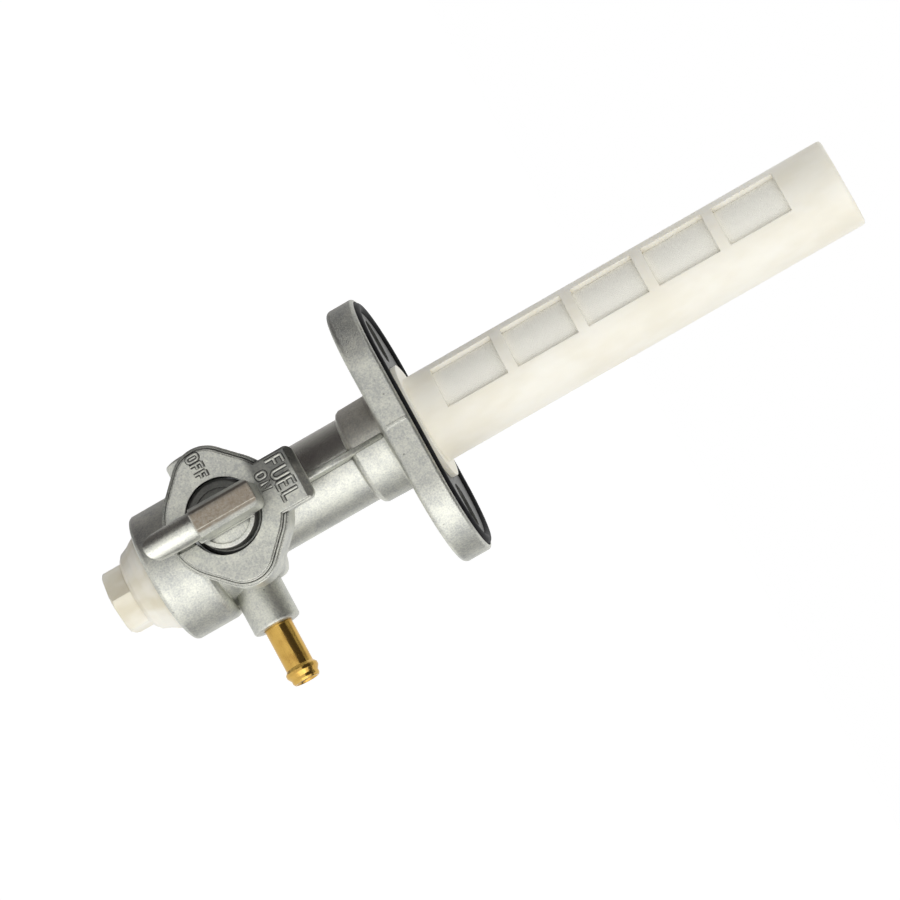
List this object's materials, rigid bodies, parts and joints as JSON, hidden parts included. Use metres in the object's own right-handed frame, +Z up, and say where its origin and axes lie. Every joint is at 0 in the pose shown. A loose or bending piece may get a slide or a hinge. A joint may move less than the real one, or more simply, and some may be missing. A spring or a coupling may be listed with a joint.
{
  "type": "fuel tap",
  "caption": "Tank-mounted fuel tap with a flanged cast body, tall screen filter, turning lever, side hose pipe and screwed sediment bowl.",
  "frame": {"origin": "centre of the flange's tank face, midway between the two bolt slots", "axes": "+Z up into the tank along the filter, +X along the outlet pipe, -Y towards the lever"},
  "size_m": [0.0695, 0.0515, 0.1865],
  "materials": {
    "cast_alloy": "as cast, satin",
    "lever_alloy": "as cast, worn",
    "nylon": "moulded, slightly translucent",
    "gauze": "woven",
    "brass": "drawn, bright",
    "black_rubber": "moulded",
    "spring_steel": "bright"
  },
  "bodies": {
    "tap": {"body": "cast_alloy", "flange_seal": "black_rubber", "filter_frame": "nylon", "filter_mesh": "gauze", "standpipe": "brass", "cover_plate": "cast_alloy", "wave_spring": "spring_steel", "valve_packing": "black_rubber", "outlet_pipe": "brass", "bowl": "nylon", "bowl_seal": "black_rubber", "strainer_frame": "nylon", "strainer_mesh": "gauze"},
    "lever": {"lever": "lever_alloy", "lever_seal": "black_rubber"}
  },
  "joints": [
    {"name": "lever_turn", "type": "hinge", "parent": "tap", "child": "lever", "pos_m": [0, -0.0166, -0.0455], "axis": [0, -1, 0], "range_deg": [0, 180]}
  ]
}
